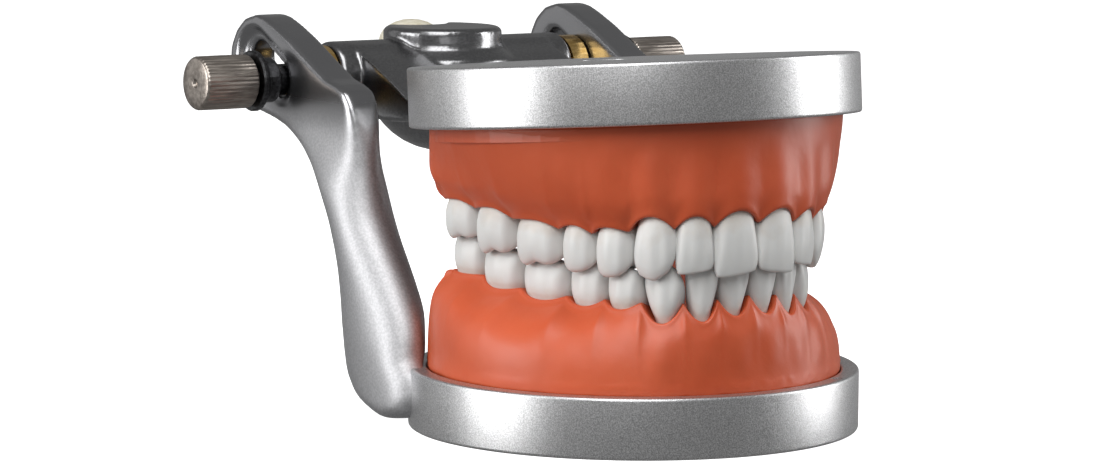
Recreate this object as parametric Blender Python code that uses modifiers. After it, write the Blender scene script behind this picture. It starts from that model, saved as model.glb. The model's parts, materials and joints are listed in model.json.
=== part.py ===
"""Dental articulator carrying a full set of model teeth.

Metres, +Z up.  The origin is the centre of the lower cup's flat underside, the
incisors face -Y and the patient's left side is +X.  The lower frame stands still;
the upper frame turns on a through-axle that can slide up two inclined slots.
Every size below is in millimetres and is scaled to metres as it is used.
"""

import math

import bmesh
import bpy

MM = 0.001
GAP = 0.3  # working clearance between separate pieces

# mounting cups (3 inch pattern)
CUP_R = 38.0
CUP_WALL = 3.1
CUP_H = 10.1
CUP_FLOOR = 3.0
UPPER_Z = 51.6  # centre of the upper cup's open rim at rest
UPPER_TILT = math.radians(4.4)  # the upper cup sits front-up when the teeth meet

# hinge line, parallel to X
HINGE_Y, HINGE_Z = 59.5, 55.5
AXLE_R = 1.9
TUBE_R, TUBE_HALF = 6.3, 24.5
TUBE_BORE = 4.2
HUB_R, HUB_TOP = 10.6, 63.8
BOWL_R = 14.1
LUG_BACK, LUG_R, LUG_TOP = 10.3, 5.2, 59.6  # the lug stands this far behind the hinge
LUG_Y = HINGE_Y + LUG_BACK
STOP_HEAD_R = 5.9

# lower frame arms
ARM_IN, ARM_OUT = 28.7, 35.2
SLOT_ANGLE = math.radians(27.5)
SLOT_TRAVEL = 7.5
SLOT_HALF = 3.05

# clamp stack outside each arm
COLLAR_R, COLLAR_END = 3.9, 38.3
WASHER_R, WASHER_IN, WASHER_OUT = 5.3, 38.6, 39.8
KNOB_R, KNOB_IN, KNOB_OUT = 4.7, 40.1, 50.8
KNURLS = 30

# tooth rows: width along the arch, depth across it, tip or edge height, gum margin height
UPPER_TEETH = [
    ("central_incisor", 8.5, 6.6, 29.3, 39.6),
    ("lateral_incisor", 6.7, 6.0, 29.9, 38.9),
    ("canine", 7.7, 7.4, 28.6, 38.8),
    ("first_premolar", 7.1, 8.6, 29.2, 36.7),
    ("second_premolar", 6.8, 8.6, 29.5, 36.6),
    ("first_molar", 10.0, 10.4, 29.9, 36.9),
    ("second_molar", 9.2, 10.2, 31.1, 38.2),
    ("third_molar", 8.3, 9.4, 32.7, 38.8),
]
LOWER_TEETH = [
    ("central_incisor", 6.0, 5.6, 31.5, 22.6),
    ("lateral_incisor", 6.1, 5.8, 31.4, 21.9),
    ("canine", 7.2, 6.8, 31.2, 21.6),
    ("first_premolar", 7.1, 7.8, 28.8, 23.6),
    ("second_premolar", 7.6, 8.2, 29.1, 23.6),
    ("first_molar", 10.0, 9.6, 29.5, 23.9),
    ("second_molar", 9.2, 9.4, 30.5, 24.9),
    ("third_molar", 8.2, 8.8, 32.1, 26.6),
]
# facial line of the upper row, from the midline back along one side
ARCH = [(0, -35.5), (4.3, -35.2), (8.2, -34.6), (14.6, -31.4), (19.5, -26.6), (22.8, -20.4),
        (25.4, -13.0), (28.2, -4.8), (29.9, 3.5), (30.6, 11.8), (30.0, 17.5), (28.6, 22.5)]
LOWER_INSET = 2.3
TOOTH_GAP = 0.12
BASE_R = CUP_R - CUP_WALL - GAP
GUM_R = CUP_R - CUP_WALL + 0.1
UPPER_GUM_BACK, LOWER_GUM_BACK = 69.0, 66.0  # arch lengths at which the gum ridges end

for old in list(bpy.data.objects):
    bpy.data.objects.remove(old, do_unlink=True)
bpy.context.scene.unit_settings.system = "METRIC"

parts = bpy.data.collections.new("dental_articulator")
tools = bpy.data.collections.new("cutters")
bpy.context.scene.collection.children.link(parts)
bpy.context.scene.collection.children.link(tools)
tools.hide_render = True


def material(name, colour, metallic, roughness):
    m = bpy.data.materials.new(name)
    m.use_nodes = True
    shader = m.node_tree.nodes["Principled BSDF"]
    shader.inputs["Base Color"].default_value = (*colour, 1)
    shader.inputs["Metallic"].default_value = metallic
    shader.inputs["Roughness"].default_value = roughness
    m.diffuse_color = (*colour, 1)
    return m


LOOKS = {
    "alloy": ((0.60, 0.60, 0.59), 1.0, 0.38),
    "nickel": ((0.52, 0.50, 0.47), 1.0, 0.30),
    "brass": ((0.66, 0.46, 0.22), 1.0, 0.30),
    "dark_steel": ((0.10, 0.10, 0.10), 1.0, 0.34),
    "steel": ((0.45, 0.45, 0.46), 1.0, 0.28),
    "gum": ((0.62, 0.12, 0.07), 0.0, 0.35),
    "resin": ((0.55, 0.16, 0.10), 0.0, 0.45),
    "tooth": ((0.80, 0.79, 0.75), 0.0, 0.40),
}


def place(name, mesh, look, where):
    obj = bpy.data.objects.new(name, mesh)
    where.objects.link(obj)
    if where is tools:
        obj.hide_render = True
        obj.display_type = "WIRE"
    else:
        mesh.materials.append(material(name, *LOOKS[look]))
    return obj


def solid(name, points, faces, look=None, where=None):
    """A closed mesh from points in mm; the faces are turned outwards."""
    mesh = bpy.data.meshes.new(name)
    mesh.from_pydata([tuple(c * MM for c in p) for p in points], [], faces)
    bm = bmesh.new()
    bm.from_mesh(mesh)
    bmesh.ops.recalc_face_normals(bm, faces=bm.faces)
    bm.to_mesh(mesh)
    bm.free()
    mesh.shade_smooth()
    mesh.set_sharp_from_angle(angle=math.radians(40))
    return place(name, mesh, look, where or parts)


def turned(name, profile, look=None, where=None, axis="Z", at=(0, 0, 0), steps=32):
    """A lathe piece: (radius, height) pairs, closed round a bore or ending on the axis."""
    n = len(profile)
    on_axis = profile[0][0] == 0 and profile[-1][0] == 0
    edges = [(i, i + 1) for i in range(n - 1)] + ([] if on_axis else [(n - 1, 0)])
    mesh = bpy.data.meshes.new(name)
    mesh.from_pydata([(r * MM, 0, z * MM) for r, z in profile], edges, [])
    obj = place(name, mesh, look, where or parts)
    screw = obj.modifiers.new("Lathe", "SCREW")
    screw.steps = screw.render_steps = steps
    screw.use_smooth_shade = True
    screw.use_merge_vertices = True
    screw.merge_threshold = 0.000001
    screw.use_normal_calculate = False
    turn = [(profile[i], profile[(i + 1) % n]) for i in range(n - 1 if on_axis else n)]
    area = sum((a[0] + b[0]) * (b[1] - a[1]) for a, b in turn)
    screw.use_normal_flip = area > 0
    if axis == "X":
        obj.rotation_euler = (0, math.pi / 2, 0)
    obj.location = [c * MM for c in at]
    return obj


def plate(name, outline, x0, x1, rounded=True, bevel=0.0):
    """A flat cutter or blank: a closed (y, z) outline standing between two X planes."""
    curve = bpy.data.curves.new(name, "CURVE")
    curve.dimensions = "2D"
    curve.fill_mode = "BOTH"
    curve.extrude = (x1 - x0) / 2 * MM
    curve.resolution_u = 2
    spline = curve.splines.new("BEZIER" if rounded else "POLY")
    points = spline.bezier_points if rounded else spline.points
    points.add(len(outline) - 1)
    for point, (y, z) in zip(points, outline):
        if rounded:
            point.co = (y * MM, z * MM, 0)
            point.handle_left_type = point.handle_right_type = "AUTO"
        else:
            point.co = (y * MM, z * MM, 0, 1)
    spline.use_cyclic_u = True
    flat = bpy.data.objects.new(name + "_outline", curve)
    tools.objects.link(flat)
    flat.rotation_euler = (math.pi / 2, 0, math.pi / 2)
    flat.location = ((x0 + x1) / 2 * MM, 0, 0)
    bpy.context.view_layer.update()
    graph = bpy.context.evaluated_depsgraph_get()
    mesh = bpy.data.meshes.new_from_object(flat.evaluated_get(graph))
    mesh.transform(flat.matrix_world)
    mesh.name = name
    bpy.data.objects.remove(flat, do_unlink=True)
    bm = bmesh.new()
    bm.from_mesh(mesh)
    bmesh.ops.remove_doubles(bm, verts=bm.verts, dist=0.000002)
    bmesh.ops.recalc_face_normals(bm, faces=bm.faces)
    bm.to_mesh(mesh)
    bm.free()
    obj = place(name, mesh, None, tools)
    if bevel:
        b = obj.modifiers.new("Edges", "BEVEL")
        b.width = bevel * MM
        b.segments = 2
        b.limit_method = "ANGLE"
        b.angle_limit = math.radians(50)
    return obj


def boolean(obj, kind, *others):
    for other in others:
        m = obj.modifiers.new(kind.title(), "BOOLEAN")
        m.operation = kind
        m.solver = "EXACT"
        m.object = other


def smooth(points, per=3, closed=False):
    """Catmull-Rom curve through the points."""
    n = len(points)
    out = []
    for i in range(n if closed else n - 1):
        p = [points[(i + k) % n] if closed else points[min(max(i + k, 0), n - 1)]
             for k in (-1, 0, 1, 2)]
        for j in range(per):
            t = j / per
            out.append(tuple(
                0.5 * (2 * b + (c - a) * t + (2 * a - 5 * b + 4 * c - d) * t * t
                       + (3 * b - a - 3 * c + d) * t ** 3)
                for a, b, c, d in zip(*p)))
    if not closed:
        out.append(tuple(points[-1]))
    return out


def tilted(p):
    """A point given in the upper cup's own frame (open rim at z = 0), placed at rest."""
    x, y, z = p
    c, s = math.cos(UPPER_TILT), math.sin(UPPER_TILT)
    return (x, y * c + z * s, UPPER_Z - y * s + z * c)


# ---- the arch that both rows follow --------------------------------------------------------
def arch_line(inset):
    """The facial line moved inwards, as (length from the midline, point, tangent) rows."""
    line = smooth(ARCH, 6)
    rows, total, last = [], 0.0, None
    for i, (x, y) in enumerate(line):
        a, b = line[max(i - 1, 0)], line[min(i + 1, len(line) - 1)]
        run = math.dist(a, b)
        d = (1.0, 0.0) if i == 0 else ((b[0] - a[0]) / run, (b[1] - a[1]) / run)
        p = (x - inset * d[1], y + inset * d[0])
        total += math.dist(p, last) if last else 0.0
        rows.append((total, p, d))
        last = p
    return rows


def on_arch(arch, s, out=0.0):
    """Point at length s along one side of an arch line, moved outwards to the lips."""
    flip = -1 if s < 0 else 1
    s = min(abs(s), arch[-1][0] - 1e-6)
    i = max(k for k, row in enumerate(arch[:-1]) if row[0] <= s)
    (s0, p0, d0), (s1, p1, d1) = arch[i], arch[i + 1]
    t = (s - s0) / (s1 - s0)
    p = [p0[k] + (p1[k] - p0[k]) * t for k in (0, 1)]
    d = [d0[k] + (d1[k] - d0[k]) * t for k in (0, 1)]
    return flip * (p[0] + out * d[1]), p[1] - out * d[0]


# ---- mounting cups -------------------------------------------------------------------------
FOOT_BITE = 1.04  # the arms' feet start this far inside the cup's wall
FOOT_Y = round(math.sqrt((CUP_R - CUP_WALL) ** 2 - ARM_IN ** 2) + FOOT_BITE, 1)


def arm_outline():
    """Side profile of a lower-frame arm, (y, z), from its foot up the rear edge.

    The foot and column stand off the cup's rear wall, the head off the hinge line.
    """
    foot = [(9.6, 1.2), (14.3, 3.0), (16.7, 8.5), (17.5, 18.0), (20.3, 32.0)]
    head = [(-11.0, -13.7), (-3.0, -8.2), (5.0, -6.3), (11.9, -4.3), (15.3, 1.9), (13.1, 8.1),
            (6.9, 11.0), (1.0, 9.8), (-9.2, 5.2), (-17.5, 1.2), (-23.1, -0.5)]
    front = [(12.5, 50.0), (11.0, 41.2), (8.7, 33.8), (4.3, 27.4), (2.4, 20.0), (2.0, 11.0),
             (0.0, 8.8), (0.0, 1.4)]
    return ([(FOOT_Y + y, z) for y, z in foot]
            + [(HINGE_Y + y, HINGE_Z + z) for y, z in head]
            + [(FOOT_Y + y, z) for y, z in front])


arms = plate("arms_blank", arm_outline(), ARM_IN, ARM_OUT, bevel=1.1)
mirror = arms.modifiers.new("Other side", "MIRROR")
mirror.use_axis = (True, False, False)
mirror.use_mirror_merge = False

slot_dir = (math.cos(SLOT_ANGLE), math.sin(SLOT_ANGLE))
slot = []
for k in range(9):
    t = SLOT_ANGLE - math.pi / 2 + math.pi * k / 8
    slot.append((HINGE_Y + SLOT_TRAVEL * slot_dir[0] + SLOT_HALF * math.cos(t),
                 HINGE_Z + SLOT_TRAVEL * slot_dir[1] + SLOT_HALF * math.sin(t)))
for k in range(9):
    t = SLOT_ANGLE + math.pi / 2 + math.pi * k / 8
    slot.append((HINGE_Y + SLOT_HALF * math.cos(t), HINGE_Z + SLOT_HALF * math.sin(t)))
slot_cut = plate("slot_cut", slot, ARM_IN - 3, ARM_OUT + 3, rounded=False)
mirror = slot_cut.modifiers.new("Other side", "MIRROR")
mirror.use_axis = (True, False, False)
mirror.use_mirror_merge = False

CUP_SCREW_Y = 8.0  # jaw screw stands behind the middle, clear of the mount point
PIN_TURN = math.atan2(-30.1, 19.0)  # the pin stands in the rim, ahead and to the left
PIN_INSET = 1.6
PIN_AT = ((CUP_R - PIN_INSET) * math.cos(PIN_TURN), (CUP_R - PIN_INSET) * math.sin(PIN_TURN), 0)
lower = turned("lower_frame", [
    (0, 0), (CUP_R - 0.6, 0), (CUP_R, 0.6), (CUP_R, CUP_H - 0.5), (CUP_R - 0.5, CUP_H),
    (CUP_R - CUP_WALL + 0.3, CUP_H), (CUP_R - CUP_WALL, CUP_H - 0.3),
    (CUP_R - CUP_WALL, CUP_FLOOR), (0, CUP_FLOOR)], "alloy", steps=96)
lower_hole = turned("lower_hole", [(0, -2), (4.2, -2), (4.2, 1.8), (2.3, 1.8), (2.3, 6), (0, 6)],
                    where=tools, at=(0, CUP_SCREW_Y, 0), steps=24)
pin_hole = turned("pin_hole", [(0, 5.8), (0.95, 5.8), (0.95, 14), (0, 14)], where=tools,
                  at=PIN_AT, steps=12)
boolean(lower, "UNION", arms)
boolean(lower, "DIFFERENCE", slot_cut, lower_hole, pin_hole)

# ---- upper frame: cup, neck, tube and hub in one casting -----------------------------------
upper = turned("upper_frame", [
    (0, 0), (CUP_R - 0.5, 0), (CUP_R, 0.5), (CUP_R, CUP_H - 0.6), (CUP_R - 0.6, CUP_H),
    (0, CUP_H)], "alloy", at=(0, 0, UPPER_Z), steps=96)
upper.rotation_euler = (-UPPER_TILT, 0, 0)
neck_cup = [(-10.0, 50.6), (0.0, 49.2)]
neck_hinge = [(-13.5, 48.6), (-5.5, 49.2), (0.0, 51.0), (1.5, 56.0), (-0.5, 61.4), (-5.1, 60.2),
              (-11.5, 57.6), (-18.1, 54.5)]
neck_top = [(0.0, 52.9), (-10.0, 53.2)]
neck = plate("neck_blank", [(CUP_R + y, z) for y, z in neck_cup]
             + [(HINGE_Y + y, z) for y, z in neck_hinge]
             + [(CUP_R + y, z) for y, z in neck_top], -20.5, 20.5, bevel=0.9)
tube = turned("tube_blank", [(0, -TUBE_HALF), (TUBE_R - 0.9, -TUBE_HALF), (TUBE_R - 0.25, 0.3 - TUBE_HALF),
                             (TUBE_R, 0.9 - TUBE_HALF), (TUBE_R, TUBE_HALF - 0.9),
                             (TUBE_R - 0.25, TUBE_HALF - 0.3), (TUBE_R - 0.9, TUBE_HALF),
                             (0, TUBE_HALF)],
              where=tools, axis="X", at=(0, HINGE_Y, HINGE_Z), steps=40)
bowl = [(BOWL_R * math.sin(t), HINGE_Z - BOWL_R * math.cos(t))
        for t in [math.pi / 2 * k / 9 for k in range(10)]]
bowl[0] = (0, HINGE_Z - BOWL_R)
hub = turned("hub_blank", bowl + [(13.2, 58.4), (HUB_R + 0.4, 60.0), (HUB_R, 60.6),
                                  (HUB_R, HUB_TOP - 0.7), (HUB_R - 0.7, HUB_TOP), (0, HUB_TOP)],
             where=tools, at=(0, HINGE_Y, 0), steps=40)
lug = turned("lug_blank", [(0, 48.6), (LUG_R - 0.6, 48.6), (LUG_R, 49.2), (LUG_R, LUG_TOP - 0.4),
                           (LUG_R - 0.4, LUG_TOP - 0.02), (0, LUG_TOP - 0.02)],
             where=tools, at=(0, LUG_Y, 0), steps=28)
cup_cut = turned("cup_cut", [(0, -16), (CUP_R - CUP_WALL, -16),
                             (CUP_R - CUP_WALL, CUP_H - CUP_FLOOR), (0, CUP_H - CUP_FLOOR)],
                 where=tools, at=(0, 0, UPPER_Z), steps=90)
cup_cut.rotation_euler = (-UPPER_TILT, 0, 0)
axle_cut = turned("axle_cut", [(0, -40), (TUBE_BORE, -40), (TUBE_BORE, -14), (AXLE_R + 0.5, -14),
                               (AXLE_R + 0.5, 14), (TUBE_BORE, 14), (TUBE_BORE, 40), (0, 40)],
                  where=tools, axis="X", at=(0, HINGE_Y, HINGE_Z), steps=24)
upper_hole_at = tilted((0, CUP_SCREW_Y, CUP_H))
upper_hole = turned("upper_hole", [(0, -6), (2.3, -6), (2.3, -1.8), (4.2, -1.8), (4.2, 2), (0, 2)],
                    where=tools, at=upper_hole_at, steps=24)
upper_hole.rotation_euler = (-UPPER_TILT, 0, 0)
stop_hole = turned("stop_hole", [(0, 40), (1.9, 40), (1.9, LUG_TOP), (STOP_HEAD_R + GAP, LUG_TOP),
                                 (STOP_HEAD_R + GAP, 70), (0, 70)], where=tools,
                   at=(0, LUG_Y, 0), steps=28)
boolean(upper, "UNION", neck, tube, hub, lug)
boolean(upper, "DIFFERENCE", cup_cut, axle_cut, upper_hole, stop_hole)
weld = upper.modifiers.new("Weld", "WELD")
weld.merge_threshold = 0.000005

# ---- axle, bushes, washers and thumb nuts --------------------------------------------------
turned("hinge_axle", [(0, -49.6), (AXLE_R - 0.4, -49.6), (AXLE_R, -49.2), (AXLE_R, 49.2),
                      (AXLE_R - 0.4, 49.6), (0, 49.6)], "steel", axis="X",
       at=(0, HINGE_Y, HINGE_Z), steps=24)


def handed(points, side):
    return [(r, side * x) for r, x in points]


def knob(name, side):
    """Thumb nut with straight knurling and a through thread."""
    n = KNURLS * 2
    rings = []
    for x, top in ((KNOB_IN, 2.2), (KNOB_IN, KNOB_R - 0.75), (KNOB_IN + 0.6, 0),
                   (KNOB_OUT - 0.9, 0), (KNOB_OUT, KNOB_R - 0.95), (KNOB_OUT, 2.2)):
        ring = []
        for k in range(n):
            r = top or (KNOB_R if k % 2 else KNOB_R - 0.28)
            t = 2 * math.pi * k / n
            ring.append((side * x, HINGE_Y + r * math.cos(t), HINGE_Z + r * math.sin(t)))
        rings.append(ring)
    pts = [p for ring in rings for p in ring]
    faces = []
    for i in range(len(rings)):
        j = (i + 1) % len(rings)
        faces += [(i * n + k, i * n + (k + 1) % n, j * n + (k + 1) % n, j * n + k)
                  for k in range(n)]
    return solid(name, pts, faces, "nickel")


for label, side in (("right", -1), ("left", 1)):
    axis_at = (0, HINGE_Y, HINGE_Z)
    turned(f"{label}_slide_bush", handed([
        (AXLE_R + 0.2, ARM_IN), (SLOT_HALF - 0.3, ARM_IN), (SLOT_HALF - 0.3, ARM_OUT + GAP),
        (COLLAR_R - 0.3, ARM_OUT + GAP), (COLLAR_R, ARM_OUT + 2 * GAP), (COLLAR_R, COLLAR_END),
        (AXLE_R + 0.2, COLLAR_END)], side), "dark_steel", axis="X", at=axis_at, steps=28)
    turned(f"{label}_tube_bush", handed([
        (AXLE_R + 0.2, 15.0), (TUBE_BORE - 0.3, 15.0), (TUBE_BORE - 0.3, TUBE_HALF + GAP),
        (5.7, TUBE_HALF + GAP), (5.7, ARM_IN - GAP - 0.3), (5.4, ARM_IN - GAP),
        (AXLE_R + 0.2, ARM_IN - GAP)], side), "brass", axis="X", at=axis_at, steps=28)
    turned(f"{label}_washer", handed([
        (AXLE_R + 0.3, WASHER_IN), (WASHER_R - 0.3, WASHER_IN), (WASHER_R, WASHER_IN + 0.3),
        (WASHER_R, WASHER_OUT - 0.3), (WASHER_R - 0.3, WASHER_OUT),
        (AXLE_R + 0.3, WASHER_OUT)], side), "dark_steel", axis="X", at=axis_at, steps=32)
    knob(f"{label}_knob", side)

head = [(STOP_HEAD_R * math.sin(t), 60.4 + 4.0 * math.cos(t))
        for t in [math.pi / 2 * k / 6 for k in range(7)]]
head[0] = (0, 64.4)
turned("stop_screw", [(0, 46.0), (1.2, 46.0), (1.5, 46.5), (1.5, LUG_TOP + GAP),
                      (STOP_HEAD_R - 0.3, LUG_TOP + GAP)] + head[::-1], "nickel",
       at=(0, LUG_Y, 0), steps=32)
turned("cup_pin", [(0, 6.2), (0.7, 6.2), (0.7, CUP_H - 0.5), (0.5, CUP_H - 0.3), (0, CUP_H - 0.3)],
       "steel", at=PIN_AT, steps=12)

# ---- jaw bases held in the cups by one screw each ------------------------------------------
LOWER_BASE = (CUP_FLOOR + GAP, 12.4)
UPPER_BASE = (-2.2, CUP_H - CUP_FLOOR - GAP)
lower_base = turned("lower_jaw_base", [
    (0, LOWER_BASE[0]), (BASE_R - 0.4, LOWER_BASE[0]), (BASE_R, LOWER_BASE[0] + 0.4),
    (BASE_R, LOWER_BASE[1]), (0, LOWER_BASE[1])], "resin", steps=64)
upper_base = turned("upper_jaw_base", [
    (0, UPPER_BASE[0]), (BASE_R, UPPER_BASE[0]), (BASE_R, UPPER_BASE[1] - 0.4),
    (BASE_R - 0.4, UPPER_BASE[1]), (0, UPPER_BASE[1])], "resin", at=(0, 0, UPPER_Z), steps=64)
upper_base.rotation_euler = (-UPPER_TILT, 0, 0)
base_thread = turned("base_thread", [(0, 2), (1.9, 2), (1.9, 10.4), (0, 10.4)], where=tools,
                     at=(0, CUP_SCREW_Y, 0), steps=20)
upper_thread = turned("upper_thread", [(0, -11.2), (1.9, -11.2), (1.9, -2), (0, -2)], where=tools,
                      at=upper_hole_at, steps=20)
upper_thread.rotation_euler = (-UPPER_TILT, 0, 0)
boolean(lower_base, "DIFFERENCE", base_thread)
boolean(upper_base, "DIFFERENCE", upper_thread)
turned("lower_jaw_screw", [(0, 0.4), (3.4, 0.4), (3.9, 0.9), (3.9, 1.5), (1.6, 1.5), (1.6, 9.8),
                           (0, 9.8)], "steel", at=(0, CUP_SCREW_Y, 0), steps=24)
upper_screw = turned("upper_jaw_screw", [(0, -10.6), (1.6, -10.6), (1.6, -1.5), (3.9, -1.5),
                                         (3.9, -0.9), (3.4, -0.4), (0, -0.4)], "steel",
                     at=upper_hole_at, steps=24)
upper_screw.rotation_euler = (-UPPER_TILT, 0, 0)

# ---- teeth and gums ------------------------------------------------------------------------
PEG_R, PEG_LEN = 1.5, 5.0
PEG_SIDES = 12


def tooth(name, width, depth, tip, margin, s, side, arch, upwards, front):
    """One model tooth with its retaining peg; its crown is lofted between sections."""
    up = 1 if upwards else -1
    crown = abs(tip - margin)
    start = margin + up * 0.3
    half = width / 2 - TOOTH_GAP
    # height above the margin, half width, facial and lingual offsets from the facial line
    if front:
        edge = 1.7 if upwards else 1.6
        rows = [(0.0, half * 0.78, -0.45, -depth * 0.84), (crown * 0.30, half * 0.93, -0.05, -depth),
                (crown * 0.56, half, 0.0, -depth * (0.72 if upwards else 0.52)),
                (crown * 0.74, half, -0.1, -(2.9 if upwards else 2.1)),
                (crown - 0.3, half * 0.97, -0.25, -edge - 0.25)]
        cap = (crown, half * 0.84, -0.5, -edge)
    else:
        rows = [(0.0, half * 0.80, -0.8, -depth + 0.9), (crown * 0.35, half * 0.97, -0.1, -depth + 0.1),
                (crown * 0.60, half, 0.0, -depth), (crown - 1.0, half * 0.96, -0.5, -depth + 0.6)]
        cap = (crown - 0.3, half * 0.72, -1.7, -depth + 1.8)
    sections = []
    centre = -depth / 2

    def ring(h, hw, face, back, power):
        pts = []
        mid, dep = (face + back) / 2, (face - back) / 2
        for k in range(PEG_SIDES):
            t = 2 * math.pi * (k + 0.5) / PEG_SIDES
            c, sn = math.cos(t), math.sin(t)
            a = math.copysign(abs(c) ** power, c) * hw
            b = math.copysign(abs(sn) ** power, sn) * dep + mid
            x, y = on_arch(arch, s + a, b)
            pts.append((side * x, y, start + up * (h - 0.3 if h else 0)))
        return pts

    peg_mid = centre * 0.95
    peg_x, peg_y = on_arch(arch, s, peg_mid)
    for h, r in ((-PEG_LEN, PEG_R - 0.3), (-PEG_LEN + 0.4, PEG_R), (-0.001, PEG_R)):
        pts = []
        for k in range(PEG_SIDES):
            t = 2 * math.pi * (k + 0.5) / PEG_SIDES
            ax, ay = on_arch(arch, s + 0.1)
            bx, by = on_arch(arch, s - 0.1)
            tx, ty = (ax - bx) / 0.2, (ay - by) / 0.2
            x = peg_x + r * (tx * math.cos(t) + ty * math.sin(t))
            y = peg_y + r * (ty * math.cos(t) - tx * math.sin(t))
            pts.append((side * x, y, start + up * h))
        sections.append(pts)
    for row in rows:
        sections.append(ring(*row, 0.62))
    sections.append(ring(*cap, 0.75))
    n = PEG_SIDES
    pts = [p for sec in sections for p in sec]
    faces = [list(range(n)), list(range(len(pts) - n, len(pts)))]
    for i in range(len(sections) - 1):
        faces += [(i * n + k, i * n + (k + 1) % n, (i + 1) * n + (k + 1) % n, (i + 1) * n + k)
                  for k in range(n)]
    solid(name, pts, faces, "tooth")
    socket = [(0, -up * (PEG_LEN + 0.5)), (PEG_R + 0.3, -up * (PEG_LEN + 0.5)),
              (PEG_R + 0.3, up * 4.0), (0, up * 4.0)]
    at = (side * peg_x, peg_y, start)
    return turned(name + "_socket", socket, where=tools, at=at, steps=12)


def tooth_row(label, table, arch, upwards):
    sockets = []
    stations = []
    s = 0.0
    for kind, width, depth, tip, margin in table:
        s += width / 2
        stations.append((s, margin, depth, width / 2))
        for word, side in (("right", -1), ("left", 1)):
            sockets.append(tooth(f"{label}_{word}_{kind}", width, depth, tip, margin, s, side,
                                 arch, upwards, "incisor" in kind or kind == "canine"))
        s += width / 2
    return stations, sockets


def depth_at(stations, s):
    """Depth of the row at arch length s, blended from tooth to tooth."""
    if s <= stations[0][0]:
        return stations[0][2]
    for a, b in zip(stations, stations[1:]):
        if s <= b[0]:
            t = (s - a[0]) / (b[0] - a[0])
            return a[2] + (b[2] - a[2]) * t
    return stations[-1][2]


def crest_at(stations, s, upwards):
    """Gum crest at arch length s: the margin of the neighbouring tooth that needs most room."""
    near = [m for at, m, _, half in stations if abs(at - s) < half + 2.9]
    near = near or [stations[-1][1]]
    return min(near) if upwards else max(near)


def gum(name, stations, sockets, arch, back, upwards):
    """Horseshoe ridge between the jaw base and the necks of the teeth."""
    up = 1 if upwards else -1
    n_side = 26
    rings = []
    for k in range(-n_side, n_side + 1):
        s = back * abs(k) / n_side
        side = 1 if k >= 0 else -1
        px, py = on_arch(arch, s)
        crest = crest_at(stations, s, upwards)
        depth = depth_at(stations, s)
        fall = max(0.0, s - stations[-1][0] - 3.0)
        crest -= up * fall * 0.25
        ends = [(0.7, crest - up * 0.9), (-0.4, crest - up * 0.05), (-depth * 0.5, crest),
                (0.4 - depth, crest - up * 0.05), (-depth - 0.9, crest - up * 1.2)]
        outer = math.hypot(px, py)
        ring = []
        for off, z in ends:
            x, y = on_arch(arch, s, off)
            r = math.hypot(x, y)
            if r > GUM_R - 0.7:
                x, y = x * (GUM_R - 0.7) / r, y * (GUM_R - 0.7) / r
            ring.append((x, y, z))
        # down the lingual side to the base, then back up the facial side
        for off, part in ((-depth - 2.2, 0.5), (-depth - 3.4, 1.0)):
            ring.append((*on_arch(arch, s, off), part))
        bx, by = px * (GUM_R - 0.4) / outer, py * (GUM_R - 0.4) / outer
        ring.append((bx, by, 1.0))
        mx, my = px * (GUM_R - 0.2) / outer, py * (GUM_R - 0.2) / outer
        ring.append((mx, my, 0.62))
        out = []
        for i, (x, y, z) in enumerate(ring):
            if i >= 5:
                if upwards:
                    low = LOWER_BASE[1] + GAP
                else:
                    low = tilted((0, y, UPPER_BASE[0] - GAP))[2]
                z = crest + (low - crest) * z
            out.append((side * x, y, z))
        rings.append(out)
    n = len(rings[0])
    pts = [p for ring in rings for p in ring]
    faces = [list(range(n)), list(range(len(pts) - n, len(pts)))]
    for i in range(len(rings) - 1):
        faces += [(i * n + k, i * n + (k + 1) % n, (i + 1) * n + (k + 1) % n, (i + 1) * n + k)
                  for k in range(n)]
    obj = solid(name, pts, faces, "gum")
    boolean(obj, "DIFFERENCE", *sockets)
    return obj


upper_arch, lower_arch = arch_line(0.0), arch_line(LOWER_INSET)
upper_stations, upper_sockets = tooth_row("upper", UPPER_TEETH, upper_arch, False)
lower_stations, lower_sockets = tooth_row("lower", LOWER_TEETH, lower_arch, True)
gum("upper_gingiva", upper_stations, upper_sockets, upper_arch, UPPER_GUM_BACK, False)
gum("lower_gingiva", lower_stations, lower_sockets, lower_arch, LOWER_GUM_BACK, True)

# ---- what turns on the hinge line hangs from an empty on it ------------------------------------
hinge_line = bpy.data.objects.new("hinge_line", None)
parts.objects.link(hinge_line)
hinge_line.location = (0, HINGE_Y * MM, HINGE_Z * MM)
bpy.context.view_layer.update()
for obj in list(parts.objects):
    on_axle = obj.name.startswith(("upper_", "right_", "left_")) or obj.name == "stop_screw"
    if on_axle or obj.name == "hinge_axle":
        obj.parent = hinge_line
        obj.matrix_parent_inverse = hinge_line.matrix_world.inverted()
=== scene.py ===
"""The looks of the dental articulator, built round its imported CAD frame.

Lengths below are in millimetres, and MM turns them into metres. Every place and size of a
tooth, a gum ridge or a casting is read from the frame.
"""

import json
import math

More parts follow.
